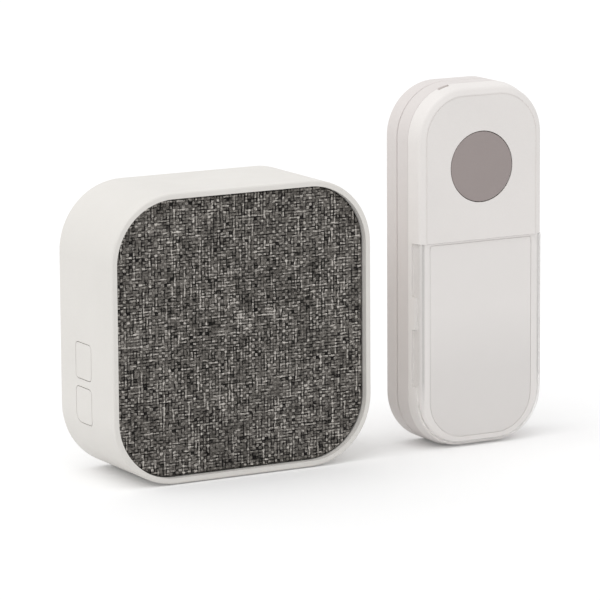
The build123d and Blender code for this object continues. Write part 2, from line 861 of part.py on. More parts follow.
# Rear shell: a band in the push's outline, a nest that goes into the bracket, a lip, and board posts
push_posts = [
    (x * push_post_side, push_post_middle + z * push_post_spacing / 2) for x in (-1, 1) for z in (-1, 1)
]
push_board_back = push_board_depth + board_thick
with BuildPart() as rear_shell:
    with BuildSketch(push_plane(rear_front)):
        push_outline(0)
    extrude(amount=rear_front - rear_band_back)
    fillet(rear_shell.faces().sort_by(Axis.Y)[-1].edges(), rear_round)
    with BuildSketch(push_plane(rear_band_back)):
        push_outline(nest_inset)
    extrude(amount=-nest_length)
    fillet(rear_shell.faces().sort_by(Axis.Y)[-1].edges(), bracket_round)
    with BuildSketch(push_plane(rear_front)):
        push_outline(shell_wall + lip_gap)
    extrude(amount=lip_length)
    with BuildSketch(push_plane(rear_front - lip_length)):
        push_outline(rear_inset)
    extrude(amount=rear_front - lip_length - rear_inner, mode=Mode.SUBTRACT)
    for side, height in push_posts:
        with BuildSketch(push_plane(push_board_back, side, height)):
            Circle(push_post)
        extrude(amount=push_board_back - rear_inner)
        with BuildSketch(push_plane(push_board_back, side, height)):
            Circle(board_screw + thread_gap)
        extrude(amount=-board_screw_length - thread_gap, mode=Mode.SUBTRACT)
write("rear_shell", rear_shell.part)


def outline_face(depth, inset):
    """The push's outline, inset, as a face at a depth."""
    with BuildSketch(push_plane(depth), mode=Mode.PRIVATE) as made:
        push_outline(inset)
    return made.sketch.face()


def front_form(grow, back):
    """The push's front as a solid: tapered sides from a depth, a rounded shoulder, a bevel, a flat panel."""
    shoulder = outline_face(0, shoulder_inset - grow)
    panel = outline_face(-bevel_rise - grow, shoulder_inset + bevel_width - grow)
    with BuildPart() as made:
        loft([outline_face(back, side_inset(back) - grow), shoulder], ruled=True)
        loft([shoulder, panel], ruled=True)
        rim = made.edges().filter_by_position(Axis.Y, push_front - fit_gap, push_front + fit_gap)
        fillet(rim, shoulder_round + grow)
    return made.part


def cover_form(gap):
    """The clear cover's solid, or with a gap the seat that it needs in the front shell."""
    with BuildPart() as made:
        add(front_form(cover_proud + gap, tab_reach + gap))
        add(front_form(-cover_sunk - gap, tab_reach + gap), mode=Mode.SUBTRACT)
        with BuildSketch(push_plane(-push_depth, 0, cover_top + gap)):
            with Locations((0, push_height / 2)):
                Rectangle(push_width, push_height)
        extrude(amount=-2 * push_depth, mode=Mode.SUBTRACT)
        with BuildSketch(push_plane(cover_skirt + gap)):
            Rectangle(2 * push_width, 2 * push_height)
            for low, high in tab_ranges:
                with Locations((0, (low + high) / 2 - push_height / 2)):
                    Rectangle(2 * push_width, high - low + 2 * gap, mode=Mode.SUBTRACT)
        extrude(amount=-push_depth, mode=Mode.SUBTRACT)
    return made.part


def card_profile(grow):
    """The name card's outline, round at the bottom and nearly square at the top."""
    with BuildSketch(mode=Mode.PRIVATE) as made:
        Rectangle(card_width + 2 * grow, card_top - card_bottom + 2 * grow)
        fillet(made.vertices().group_by(Axis.Y)[0], card_corner + grow)
        fillet(made.vertices().group_by(Axis.Y)[-1], card_top_corner + grow)
    return made.sketch


cover_seat = cover_form(cover_seat_gap)
with BuildPart() as front_shell:
    add(front_form(0, parting_depth))
    fillet(front_shell.faces().sort_by(Axis.Y)[0].edges(), bevel_round)
    with BuildSketch(push_plane(-bevel_rise)):
        push_outline(shoulder_inset + bevel_width + panel_groove)
        push_outline(shoulder_inset + bevel_width + 2 * panel_groove, mode=Mode.SUBTRACT)
    extrude(amount=-panel_groove_depth, mode=Mode.SUBTRACT)
    add(cover_seat, mode=Mode.SUBTRACT)
    with BuildSketch(push_plane(parting_depth)):
        push_outline(shell_wall)
    extrude(amount=parting_depth - front_inner, mode=Mode.SUBTRACT)
    with BuildSketch(push_plane(-bevel_rise, 0, button_height)):
        Circle(button_radius + button_gap)
    extrude(amount=-front_wall, mode=Mode.SUBTRACT)
    with BuildSketch(push_plane(card_back, 0, card_middle)):
        add(card_profile(card_gap))
    extrude(amount=push_depth, mode=Mode.SUBTRACT)
    with BuildSketch(push_plane(parting_depth)):
        with Locations((pry_side - push_width / 2, pry_top - push_height / 2)):
            Rectangle(pry_width, 2 * pry_length)
    extrude(amount=pry_height, mode=Mode.SUBTRACT)
write("front_shell", front_shell.part)
write("clear_cover", cover_form(0))

with BuildPart() as name_card:
    with BuildSketch(push_plane(card_back, 0, card_middle)):
        add(card_profile(0))
    extrude(amount=card_thick)
write("name_card", name_card.part)

with BuildPart() as push_button:
    with BuildSketch(push_plane(-bevel_rise, 0, button_height)):
        Circle(button_radius)
    extrude(amount=-bevel_rise - cap_flange)
    fillet(push_button.faces().sort_by(Axis.Y)[0].edges(), button_edge)
    with BuildSketch(push_plane(cap_flange, 0, button_height)):
        Circle(button_radius + button_gap + button_lap)
    extrude(amount=-button_flange)
    with BuildSketch(push_plane(cap_flange, 0, button_height)):
        Circle(button_stem)
    extrude(amount=cap_flange - stem_end)
write("push_button", push_button.part)


# Push board with its switch, coin cell, chips and screws
board_front = push_plane(push_board_depth, 0, button_height)
write("push_switch", tact_switch(board_front))
write("push_plunger", plunger(board_front.offset(switch_thick), push_plunger_stand - touch_gap))

with BuildPart() as push_board:
    with BuildSketch(push_plane(push_board_depth)):
        RectangleRounded(push_board_width, push_board_height, push_board_corner)
        with Locations((0, push_post_middle - push_height / 2)):
            with GridLocations(2 * push_post_side, push_post_spacing, 2, 2):
                Circle(board_screw + fit_gap, mode=Mode.SUBTRACT)
    extrude(amount=-board_thick)
write("push_board", push_board.part)

group(
    "push_board_screws",
    [
        screw(push_plane(push_board_depth, side, height), board_screw, board_screw_head, board_screw_length)
        for side, height in push_posts
    ],
)

coin_back = push_board_depth - holder_floor - fit_gap
coin_front = coin_back - coin_thick
with BuildPart() as coin_holder:
    with BuildSketch(push_plane(push_board_depth, 0, coin_height)):
        Circle(coin_radius + holder_gap + holder_wall)
    extrude(amount=holder_floor + coin_thick)
    with BuildSketch(push_plane(push_board_depth - holder_floor, 0, coin_height)):
        Circle(coin_radius + holder_gap)
    extrude(amount=coin_thick, mode=Mode.SUBTRACT)
    with BuildSketch(push_plane(push_board_depth - holder_floor - coin_thick / 3, 0, coin_height)):
        with Locations((0, coin_radius)):
            Rectangle(strap_width, coin_radius)
        Rectangle(3 * coin_radius, strap_width + 2 * holder_gap)
    extrude(amount=coin_thick, mode=Mode.SUBTRACT)
write("coin_holder", coin_holder.part)

with BuildPart() as coin_cell:
    with BuildSketch(push_plane(coin_back, 0, coin_height)):
        Circle(coin_radius - coin_rim)
    extrude(amount=coin_rim)
    with BuildSketch(push_plane(coin_back - coin_rim, 0, coin_height)):
        Circle(coin_radius)
    extrude(amount=coin_thick - coin_rim)
    fillet(coin_cell.faces().sort_by(Axis.Y)[0].edges(), coin_rim / 2)
write("coin_cell", coin_cell.part)

strap_side = coin_radius + holder_gap + holder_wall + strap_thick
strap_front = coin_front - fit_gap - strap_thick / 2
strap_base = push_board_depth - strap_thick / 2
strap_level = Plane(
    origin=(push_x, push_front, coin_height - strap_width / 2), x_dir=(1, 0, 0), z_dir=(0, 0, 1)
)
with BuildPart() as cell_strap:
    with BuildSketch(strap_level):
        with BuildLine():
            Polyline(
                (-strap_side - strap_foot, strap_base),
                (-strap_side, strap_base),
                (-strap_side, strap_front),
                (strap_side, strap_front),
                (strap_side, strap_base),
                (strap_side + strap_foot, strap_base),
            )
        trace(line_width=strap_thick)
    extrude(amount=strap_width)
write("cell_strap", cell_strap.part)

group(
    "push_chips",
    [
        block(push_plane(push_board_depth, side, height), *size, chip_corner)
        for side, height, *size in push_chip_sizes
    ],
)
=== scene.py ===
"""Looks of the doorbell set: a portable chime with a woven front, and a bell push with a clear cover."""

from math import ceil, cos, pi, radians, sin, sqrt

import bmesh
import bpy
from mathutils import Matrix, Vector


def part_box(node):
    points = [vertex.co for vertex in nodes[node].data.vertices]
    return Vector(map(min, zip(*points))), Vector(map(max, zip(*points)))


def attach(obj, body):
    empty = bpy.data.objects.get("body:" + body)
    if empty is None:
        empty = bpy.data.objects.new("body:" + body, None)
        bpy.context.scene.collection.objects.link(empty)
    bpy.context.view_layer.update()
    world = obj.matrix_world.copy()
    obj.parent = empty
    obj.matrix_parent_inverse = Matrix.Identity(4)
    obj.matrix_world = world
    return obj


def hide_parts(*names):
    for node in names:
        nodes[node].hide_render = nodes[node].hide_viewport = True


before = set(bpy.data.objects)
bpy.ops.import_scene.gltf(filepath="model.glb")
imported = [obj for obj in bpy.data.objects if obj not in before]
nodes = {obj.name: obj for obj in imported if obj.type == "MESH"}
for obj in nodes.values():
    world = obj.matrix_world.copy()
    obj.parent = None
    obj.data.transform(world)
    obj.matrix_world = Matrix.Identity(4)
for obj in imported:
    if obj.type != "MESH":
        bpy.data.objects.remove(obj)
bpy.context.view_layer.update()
mm = 0.001

# Camera, set up from the photograph: where it stands, where it looks, its long lens and its reach
camera_place = Vector((-682.2, -1223.5, 310.4)) * mm
camera_yaw = radians(29.058)
camera_pitch = radians(10.448)
camera_roll = radians(-0.349)
camera_lens = 258.12
camera_reach = 20.0

# Cloth of the chime's front: its threads, the grid lines over each thread, and its soft outline
thread_across = 1.134 * mm
thread_up = 1.0 * mm
thread_lines = (0.0, 0.3, 0.7)
thread_relief = 0.26 * mm
thread_wave_share = 0.4
cloth_corner = 20.2 * mm
cloth_soft_edge = 0.7 * mm
cloth_thick = 0.55 * mm
cloth_edge_steps = 3
sliver_area = 1e-4 * mm * mm

# Weave's threads: how far they sway, and how far apart two of them read the same noise
sway_scale = 420.0
sway_most = 0.13
thread_apart = 7.31

# Weave's tones, from 0 for the darkest grey to 1 for the palest, and lengths counted in threads
tone_middle = 0.49
warp_lighter = 0.08
dye_length = 5.0
dye_strength = 0.75
slub_length = 1.3
slub_strength = 0.45
fibres_across = 3.4
fibres_along = 2.1
dark_share = 0.07
dark_drop = 0.30
patch_scale = 75.0
patch_depth = 0.06

# Painted highlights along the backs of the threads: their width, their drift, and where they show
highlight_half_width = 0.20
highlight_core = 0.05
highlight_drift = 0.9
highlight_drift_length = 5.0
highlight_from = 0.05
highlight_full = 0.13
highlight_under_share = 0.85
highlight_strength = 0.45

# Dark seams between the threads, as shares of a thread: partly the dark behind the gaps, partly painted
# shade where the threads dip
seam_width = 0.19
seam_core = 0.45
seam_least = 0.05
seam_swing = 0.16
seam_shade_depth = 0.97

# Cloth's painted shade towards its edge, where it rounds back into the gap, its fine relief, and its
# greys from tone 0 to tone 1
edge_shade = 0.25
edge_shade_start = 0.12 * mm
edge_shade_end = 0.5 * mm
weave_bump = 0.12 * mm
weave_bump_tone = 0.6
thread_greys = (
    (0.10, (0.012, 0.011, 0.010)),
    (0.35, (0.100, 0.092, 0.083)),
    (0.60, (0.190, 0.176, 0.160)),
    (1.00, (0.700, 0.662, 0.615)),
)

# Moulded plastic: slow clouds, fine specks, and marks of handling that change its roughness
cloud_scale = 45.0
speck_depth = 0.015
mark_scale = 160.0
mark_smoother = -0.05
mark_rougher = 0.07
grain_relief = 0.012 * mm

# Metal: fine lines along one way, clouds in its colour, and how far the lines change its roughness
brush_lines = (900.0, 900.0, 60.0)
metal_cloud_scale = 120.0
metal_cloud_share = 0.85
brush_smoother = -0.08
brush_rougher = 0.12
brush_relief = 0.004 * mm

# Rubber: how dark its pores are, and how deep
rubber_pore_share = 0.7
rubber_relief = 0.03 * mm

# Clear cover: how many times light is bent before it goes straight on, and the painted shade of its
# bevelled sides, a grey with a dark line for the side wall seen through the bevel, which starts above
# the low rim. Low down, most of the light goes straight through
clear_depth = 3.0
clear_side_reach = 5.0 * mm
clear_side_shade_greys = ((0.0, 0.94), (0.18, 0.93), (0.41, 0.87), (0.46, 0.64), (0.51, 0.66), (0.58, 1.0))
clear_side_start = 10.0 * mm
clear_side_full = 24.0 * mm
clear_low_straight = 0.65

# Name card: its colour, and how much darker its lower end is, as painted shade
card_colour = (0.865, 0.832, 0.810)
card_low_shade = 0.91
card_fade_start = 47.0 * mm
card_fade_end = 24.0 * mm

# Circuit boards: where the tracks turn, and the pads and vias
track_steps = (3.1 * mm, 4.3 * mm, 1.0)
track_scale = 330.0
track_patch_scale = 120.0
pad_scale = 240.0
pad_size = 0.10
board_relief = 0.02 * mm

# Sleeves of the AA cells: how far the pale band and the bare steel reach from each end
cell_band = 15.0 * mm
cell_nub_bare = 1.9 * mm
cell_plain_bare = 0.7 * mm

# Light: a pale sky all round, one very soft lamp from the upper left, and a floor that shows white
sky_strength = 0.77
sun_strength = 0.88
sun_angle = radians(60)
sun_direction = (-0.50, -0.14, 0.855)
floor_half = 6.0
floor_seen = 0.95
floor_glow = 0.10
floor_bounce = 0.85
floor_gap = 0.02 * mm


def camera():
    """A long lens at the photograph's viewing angle."""
    lens = bpy.data.cameras.new("camera")
    lens.lens = camera_lens
    lens.clip_end = camera_reach
    view = bpy.data.objects.new("camera", lens)
    turn = Matrix.Rotation(-camera_yaw, 4, "Z") @ Matrix.Rotation(pi / 2 - camera_pitch, 4, "X")
    view.matrix_world = Matrix.Translation(camera_place) @ turn @ Matrix.Rotation(camera_roll, 4, "Z")
    bpy.context.scene.collection.objects.link(view)
    bpy.context.scene.camera = view


class Graph:
    """Short calls for the nodes of one material or group."""

    def __init__(self, tree):
        self.tree = tree

    def node(self, kind, **settings):
        """A new node with its settings."""
        made = self.tree.nodes.new(kind)
        for name, value in settings.items():
            setattr(made, name, value)
        return made

    def plug(self, socket, value):
        """Links another node's output to a socket, or sets the socket to a plain value."""
        if isinstance(value, bpy.types.NodeSocket):
            self.tree.links.new(value, socket)
        else:
            socket.default_value = value

    def filled(self, kind, *values, **settings):
        """A node with its inputs filled in order. Gives its first output."""
        made = self.node(kind, **settings)
        for socket, value in zip(made.inputs, values):
            self.plug(socket, value)
        return made.outputs[0]

    def maths(self, operation, *values):
        return self.filled("ShaderNodeMath", *values, operation=operation)

    def either(self, mask, *others):
        """The highest of several masks."""
        for other in others:
            mask = self.maths("MAXIMUM", mask, other)
        return mask

    def spread(self, value, low, high, to_low=0.0, to_high=1.0):
        """Turns the range from low to high into another range, and holds what lies outside it."""
        return self.filled("ShaderNodeMapRange", value, low, high, to_low, to_high)

    def vary(self, noise, low, high):
        """Turns the range that most of a noise lies in into a range of values."""
        return self.spread(noise, 0.3, 0.7, low, high)

    def vector(self, x, y, z):
        return self.filled("ShaderNodeCombineXYZ", x, y, z)

    def parts(self, vector):
        """X, Y and Z of a vector, by name."""
        made = self.node("ShaderNodeSeparateXYZ")
        self.plug(made.inputs[0], vector)
        return made.outputs

    def noise(self, vector, scale, detail=2.0, roughness=0.5):
        made = self.node("ShaderNodeTexNoise")
        self.plug(made.inputs["Vector"], vector)
        self.plug(made.inputs["Scale"], scale)
        self.plug(made.inputs["Detail"], detail)
        self.plug(made.inputs["Roughness"], roughness)
        return made.outputs["Fac"]

    def mix(self, factor, one, two, blend="MIX"):
        made = self.node("ShaderNodeMix", data_type="RGBA", blend_type=blend)
        self.plug(made.inputs["Factor"], factor)
        self.plug(made.inputs["A"], one)
        self.plug(made.inputs["B"], two)
        return made.outputs["Result"]

    def shade(self, colour, level):
        """A colour times a level of grey."""
        return self.mix(1.0, colour, self.vector(level, level, level), "MULTIPLY")

    def ramp(self, value, stops):
        made = self.node("ShaderNodeValToRGB")
        self.plug(made.inputs[0], value)
        marks = made.color_ramp.elements
        while len(marks) < len(stops):
            marks.new(0.5)
        for mark, (place, colour) in zip(marks, stops):
            mark.position = place
            mark.color = (*colour, 1.0)
        return made.outputs[0]

    def bump(self, height, distance):
        made = self.node("ShaderNodeBump")
        made.inputs["Distance"].default_value = distance
        self.plug(made.inputs["Height"], height)
        return made.outputs[0]

    def seen(self):
        """A mask that is 1 for what the camera sees, also mirrored or through clear plastic."""
        path = self.node("ShaderNodeLightPath").outputs
        return self.either(path["Is Camera Ray"], path["Is Transmission Ray"], path["Is Glossy Ray"])


def new_group(name, inputs, outputs):
    """An empty shader group with named inputs and outputs."""
    group = bpy.data.node_groups.new(name, "ShaderNodeTree")
    for way, sockets in (("INPUT", inputs), ("OUTPUT", outputs)):
        for title, kind in sockets.items():
            group.interface.new_socket(name=title, in_out=way, socket_type=f"NodeSocket{kind}")
    g = Graph(group)
    return group, g, g.node("NodeGroupInput").outputs, g.node("NodeGroupOutput").inputs


def place_group(g, group, **values):
    """Places a group in a material with its own values. Gives the group's outputs."""
    made = g.node("ShaderNodeGroup", node_tree=group)
    for name, value in values.items():
        g.plug(made.inputs[name], value)
    return made.outputs


def moulded_group():
    """Fine spark-eroded grain of moulded plastic, with faint clouds and marks of handling."""
    group, g, given, out = new_group(
        "moulded grain",
        {"Vector": "Vector", "Colour": "Color", "Grain": "Float", "Cloud": "Float", "Dull": "Float"},
        {"Colour": "Color", "Roughness": "Float", "Height": "Float"},
    )
    place = given["Vector"]
    grain = g.noise(place, given["Grain"], roughness=0.6)
    cloud = g.noise(place, cloud_scale, detail=4.0, roughness=0.6)
    marks = g.noise(place, mark_scale, detail=3.0, roughness=0.7)
    clouded = g.vary(cloud, g.maths("SUBTRACT", 1.0, given["Cloud"]), 1.0)
    specked = g.spread(grain, 0.25, 0.75, 1.0 - speck_depth, 1.0 + speck_depth)
    handled = g.vary(marks, mark_smoother, mark_rougher)
    g.plug(out["Colour"], g.shade(given["Colour"], g.maths("MULTIPLY", clouded, specked)))
    g.plug(out["Roughness"], g.maths("ADD", given["Dull"], handled))
    g.plug(out["Height"], grain)
    return group


def thread_counts():
    """How many threads run up and across the flat part of the front."""
    low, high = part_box("fabric_front")
    flat = high.x - low.x - 2 * cloth_soft_edge
    return ceil(flat / thread_across), ceil(flat / thread_up)


def cloth_start():
    """The left and lower corner of the first thread's cell, in the cloth's plane."""
    low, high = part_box("fabric_front")
    centre = (low + high) / 2
    columns, rows = thread_counts()
    return centre.x - columns * thread_across / 2, centre.z - rows * thread_up / 2


def weave_group():
    """Plain weave of slubby threads: their tone with painted highlights, the dark seams between them
    with painted shade, and their height.
    """
    group, g, given, out = new_group(
        "slub weave",
        {"Vector": "Vector"},
        {"Tone": "Float", "Shade": "Float", "Height": "Float"},
    )
    place = g.parts(given["Vector"])
    start_x, start_z = cloth_start()

    def count_threads(axis, start, size, seed):
        """Counts threads along one axis, with a slight sway."""
        moved = g.filled("ShaderNodeVectorMath", given["Vector"], (seed, seed, seed), operation="ADD")
        sway = g.spread(g.noise(moved, sway_scale, detail=1.0), 0.25, 0.75, -sway_most, sway_most)
        return g.maths("ADD", g.maths("DIVIDE", g.maths("SUBTRACT", place[axis], start), size), sway)

    def streak(index, along, seed, length, strength=1.0):
        """Noise that stays on one thread and changes along it, spread about nought."""
        spot = g.vector(g.maths("MULTIPLY", index, thread_apart), g.maths("DIVIDE", along, length), seed)
        return g.maths("MULTIPLY", g.maths("SUBTRACT", g.noise(spot, 1.0, detail=1.0), 0.5), strength)

    def thread_tone(position, index, along, seed, lighter):
        """Tone of a thread at a place: slow dye, short slubs and fine fibres."""
        dye = streak(index, along, seed, dye_length, dye_strength)
        slub = streak(index, along, seed + 3.0, slub_length, slub_strength)
        sideways = g.maths("MULTIPLY", position, fibres_across)
        lengthways = g.maths("MULTIPLY", along, fibres_along)
        fibres = g.noise(g.vector(sideways, lengthways, seed), 1.0, roughness=0.6)
        fibre = g.maths("SUBTRACT", fibres, 0.5)
        return g.maths("ADD", g.maths("ADD", dye, slub), g.maths("ADD", fibre, lighter))

    def thread_highlight(position, index, along, over, seed, length):
        """A painted highlight that drifts along the back of a thread, fainter where another crosses it.
        """
        off_centre = g.maths("SUBTRACT", g.maths("SUBTRACT", position, index), 0.5)
        drift = streak(index, along, seed + 1.0, highlight_drift_length, highlight_drift)
        off_line = g.maths("ABSOLUTE", g.maths("ADD", off_centre, drift))
        band = g.spread(off_line, highlight_half_width, highlight_core)
        shown = g.spread(streak(index, along, seed, length), highlight_from, highlight_full)
        crossed = g.spread(over, 0.0, 1.0, highlight_under_share, 1.0)
        return g.maths("MULTIPLY", g.maths("MULTIPLY", band, shown), crossed)

    def seam(position, along, seed, least, most, length):
        """Dark line between two neighbouring threads, partly painted shade: thin here, open there."""
        line = g.maths("ROUND", position)
        away = g.maths("ABSOLUTE", g.maths("SUBTRACT", position, line))
        width = g.spread(streak(line, along, seed, length), -seam_swing, seam_swing, least, most)
        width = g.maths("MAXIMUM", width, seam_least)
        edge = g.maths("MULTIPLY", width, seam_width)
        core = g.maths("MULTIPLY", edge, seam_core)
        return g.spread(away, edge, core, 0.0, g.maths("MINIMUM", width, 1.0))

    across = count_threads("X", start_x, thread_across, seed=0.0)
    up = count_threads("Z", start_z, thread_up, seed=0.37)
    column = g.maths("FLOOR", across)
    row = g.maths("FLOOR", up)
    weft_over = g.maths("FLOORED_MODULO", g.maths("ADD", column, row), 2.0)
    warp_over = g.maths("SUBTRACT", 1.0, weft_over)
    warp_tone = thread_tone(across, column, up, seed=2.7, lighter=warp_lighter)
    weft_tone = thread_tone(up, row, across, seed=18.3, lighter=-warp_lighter)
    tone = g.maths("MULTIPLY", warp_over, warp_tone)
    tone = g.maths("ADD", tone, g.maths("MULTIPLY", weft_over, weft_tone))
    # Painted highlights: pale streaks along the backs of some threads
    pale = g.either(
        thread_highlight(across, column, up, warp_over, seed=61.7, length=9.0),
        thread_highlight(up, row, across, weft_over, seed=73.9, length=4.0),
    )
    tone = g.maths("ADD", tone, g.maths("MULTIPLY", pale, highlight_strength))
    chance = g.node("ShaderNodeTexWhiteNoise", noise_dimensions="2D")
    g.plug(chance.inputs["Vector"], g.vector(column, row, 0.0))
    rare = g.maths("LESS_THAN", chance.outputs["Value"], dark_share)
    tone = g.maths("SUBTRACT", tone, g.maths("MULTIPLY", rare, dark_drop))
    patches = g.vary(g.noise(given["Vector"], patch_scale), -patch_depth, patch_depth)
    tone = g.maths("ADD", tone, patches)
    # Painted shade, together with the dark behind the gaps: the seams between the threads
    dark = g.either(
        seam(across, up, seed=31.1, least=-0.3, most=1.3, length=2.6),
        seam(up, across, seed=47.9, least=-0.2, most=1.4, length=1.6),
    )
    g.plug(out["Tone"], g.maths("ADD", tone, tone_middle))
    g.plug(out["Shade"], g.maths("SUBTRACT", 1.0, g.maths("MULTIPLY", dark, seam_shade_depth)))
    g.plug(out["Height"], g.maths("SUBTRACT", g.maths("MULTIPLY", tone, weave_bump_tone), dark))
    return group


def material(name):
    """A material with its Principled shader and Object coordinates at hand."""
    made = bpy.data.materials.new(name)
    made.use_nodes = True
    g = Graph(made.node_tree)
    shader = made.node_tree.nodes["Principled BSDF"]
    return made, g, shader, g.node("ShaderNodeTexCoord").outputs["Object"]


def darker(colour, share):
    """A colour for a socket, darkened to a share of itself."""
    return (*[part * share for part in colour], 1)


def mould(g, shader, place, colour, dull, grain, cloud, relief):
    """Gives a shader its colour and the moulded grain."""
    found = place_group(g, moulded, Vector=place, Colour=colour, Grain=grain, Cloud=cloud, Dull=dull)
    g.plug(shader.inputs["Base Color"], found["Colour"])
    g.plug(shader.inputs["Roughness"], found["Roughness"])
    g.plug(shader.inputs["Normal"], g.bump(found["Height"], relief))


def plastic(name, colour, dull, grain=2600.0, cloud=0.03, relief=grain_relief):
    """Moulded plastic with a fine satin grain."""
    made, g, shader, place = material(name)
    mould(g, shader, place, (*colour, 1), dull, grain, cloud, relief)
    return made


def metal(name, colour, dull):
    """Plated or brushed metal with fine lines along one way."""
    made, g, shader, place = material(name)
    shader.inputs["Metallic"].default_value = 1.0
    stretched = g.node("ShaderNodeMapping")
    g.plug(stretched.inputs["Vector"], place)
    g.plug(stretched.inputs["Scale"], brush_lines)
    lines = g.noise(stretched.outputs[0], 1.0, detail=3.0, roughness=0.6)
    clouds = g.noise(place, metal_cloud_scale, detail=3.0)
    roughness = g.spread(lines, 0.2, 0.8, dull + brush_smoother, dull + brush_rougher)
    g.plug(shader.inputs["Base Color"], g.mix(clouds, darker(colour, metal_cloud_share), (*colour, 1)))
    g.plug(shader.inputs["Roughness"], roughness)
    g.plug(shader.inputs["Normal"], g.bump(lines, brush_relief))
    return made


def rubber(name, colour, grain=1500.0):
    """Dull rubber or foam with open pores."""
    made, g, shader, place = material(name)
    pores = g.noise(place, grain, detail=3.0, roughness=0.7)
    g.plug(shader.inputs["Base Color"], g.mix(pores, darker(colour, rubber_pore_share), (*colour, 1)))
    g.plug(shader.inputs["Roughness"], g.spread(pores, 0.2, 0.8, 0.7, 0.9))
    g.plug(shader.inputs["Normal"], g.bump(pores, rubber_relief))
    return made


def cloth_material():
    """Woven front: dark, middle and light greys twisted into each thread, with painted shade at the soft
    edge.
    """
    made, g, shader, place = material("woven_front")
    found = place_group(g, weave, Vector=place)
    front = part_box("fabric_front")[0].y
    depth = g.parts(place)["Y"]
    # Painted shade where the cloth rounds back into the gap at its edge
    edge = g.spread(depth, front + edge_shade_start, front + edge_shade_end, 1.0, edge_shade)
    level = g.maths("MULTIPLY", found["Shade"], edge)
    g.plug(shader.inputs["Base Color"], g.shade(g.ramp(found["Tone"], thread_greys), level))
    shader.inputs["Roughness"].default_value = 0.9
    shader.inputs["Specular IOR Level"].default_value = 0.15
    g.plug(shader.inputs["Normal"], g.bump(found["Height"], weave_bump))
    return made


def clear_material():
    """Clear moulded plastic, with painted shade in its bevelled sides: a grey and a dark line."""
    made, g, shader, place = material("clear_plastic")
    low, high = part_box("rear_shell")
    spot = g.parts(place)
    off_middle = g.maths("ABSOLUTE", g.maths("SUBTRACT", spot["X"], (low.x + high.x) / 2))
    from_side = g.maths("SUBTRACT", (high.x - low.x) / 2, off_middle)
    # Painted shade: a grey over the bevelled sides and a dark line for the side wall seen through the
    # bevel, left off near the low rim
    stops = [(at, (grey, grey, grey)) for at, grey in clear_side_shade_greys]
    greys = g.ramp(g.maths("DIVIDE", from_side, clear_side_reach), stops)
    upright = g.spread(spot["Z"], clear_side_start, clear_side_full)
    marks = g.noise(place, 90.0, detail=3.0, roughness=0.6)
    g.plug(shader.inputs["Base Color"], g.mix(upright, (1, 1, 1, 1), greys))
    g.plug(shader.inputs["Roughness"], g.vary(marks, 0.14, 0.20))
    shader.inputs["Transmission Weight"].default_value = 1.0
    shader.inputs["IOR"].default_value = 1.3
    path = g.node("ShaderNodeLightPath").outputs
    spent = g.maths("GREATER_THAN", path["Transmission Depth"], clear_depth)
    straight = g.spread(upright, 0.0, 1.0, clear_low_straight, 0.0)
    through = g.node("ShaderNodeBsdfTransparent")
    chosen = g.node("ShaderNodeMixShader")
    g.plug(chosen.inputs[0], g.either(path["Is Shadow Ray"], path["Is Diffuse Ray"], spent, straight))
    g.plug(chosen.inputs[1], shader.outputs[0])
    g.plug(chosen.inputs[2], through.outputs[0])
    g.plug(made.node_tree.nodes["Material Output"].inputs["Surface"], chosen.outputs[0])
    return made


def card_material():
    """Blank name card, a little greyer towards its lower end as painted shade."""
    made, g, shader, place = material("card")
    # Painted shade towards the card's lower end
    low_shade = g.spread(g.parts(place)["Z"], card_fade_start, card_fade_end)
    colour = g.mix(low_shade, (*card_colour, 1), darker(card_colour, card_low_shade))
    mould(g, shader, place, colour, dull=0.75, grain=4200.0, cloud=0.02, relief=grain_relief)
    return made


def board_material():
    """Green solder mask over copper tracks, with small tinned pads and vias."""
    made, g, shader, place = material("circuit_board")
    spot = g.parts(place)
    flat = g.vector(g.maths("ADD", spot["X"], spot["Y"]), spot["Z"], 0.0)
    bent = g.filled("ShaderNodeVectorMath", flat, track_steps, operation="SNAP")
    runs = g.noise(bent, track_patch_scale)
    tracks = g.node("ShaderNodeTexBrick")
    g.plug(tracks.inputs["Vector"], flat)
    tracks.inputs["Scale"].default_value = track_scale
    tracks.inputs["Mortar Size"].default_value = 0.045
    tracks.inputs["Brick Width"].default_value = 2.6
    tracks.inputs["Row Height"].default_value = 0.3
    shown = g.maths("MULTIPLY", tracks.outputs["Fac"], g.maths("GREATER_THAN", runs, 0.5))
    mask = g.mix(g.noise(place, 90.0), (0.009, 0.070, 0.028, 1), (0.014, 0.095, 0.038, 1))
    green = g.mix(shown, mask, (0.030, 0.190, 0.075, 1))
    dots = g.node("ShaderNodeTexVoronoi", voronoi_dimensions="2D")
    g.plug(dots.inputs["Vector"], flat)
    dots.inputs["Scale"].default_value = pad_scale
    pads = g.maths("LESS_THAN", dots.outputs["Distance"], pad_size)
    g.plug(shader.inputs["Base Color"], g.mix(pads, green, (0.560, 0.550, 0.520, 1)))
    g.plug(shader.inputs["Metallic"], pads)
    g.plug(shader.inputs["Roughness"], g.vary(g.noise(place, 300.0), 0.22, 0.36))
    g.plug(shader.inputs["Normal"], g.bump(g.maths("ADD", shown, pads), board_relief))
    return made


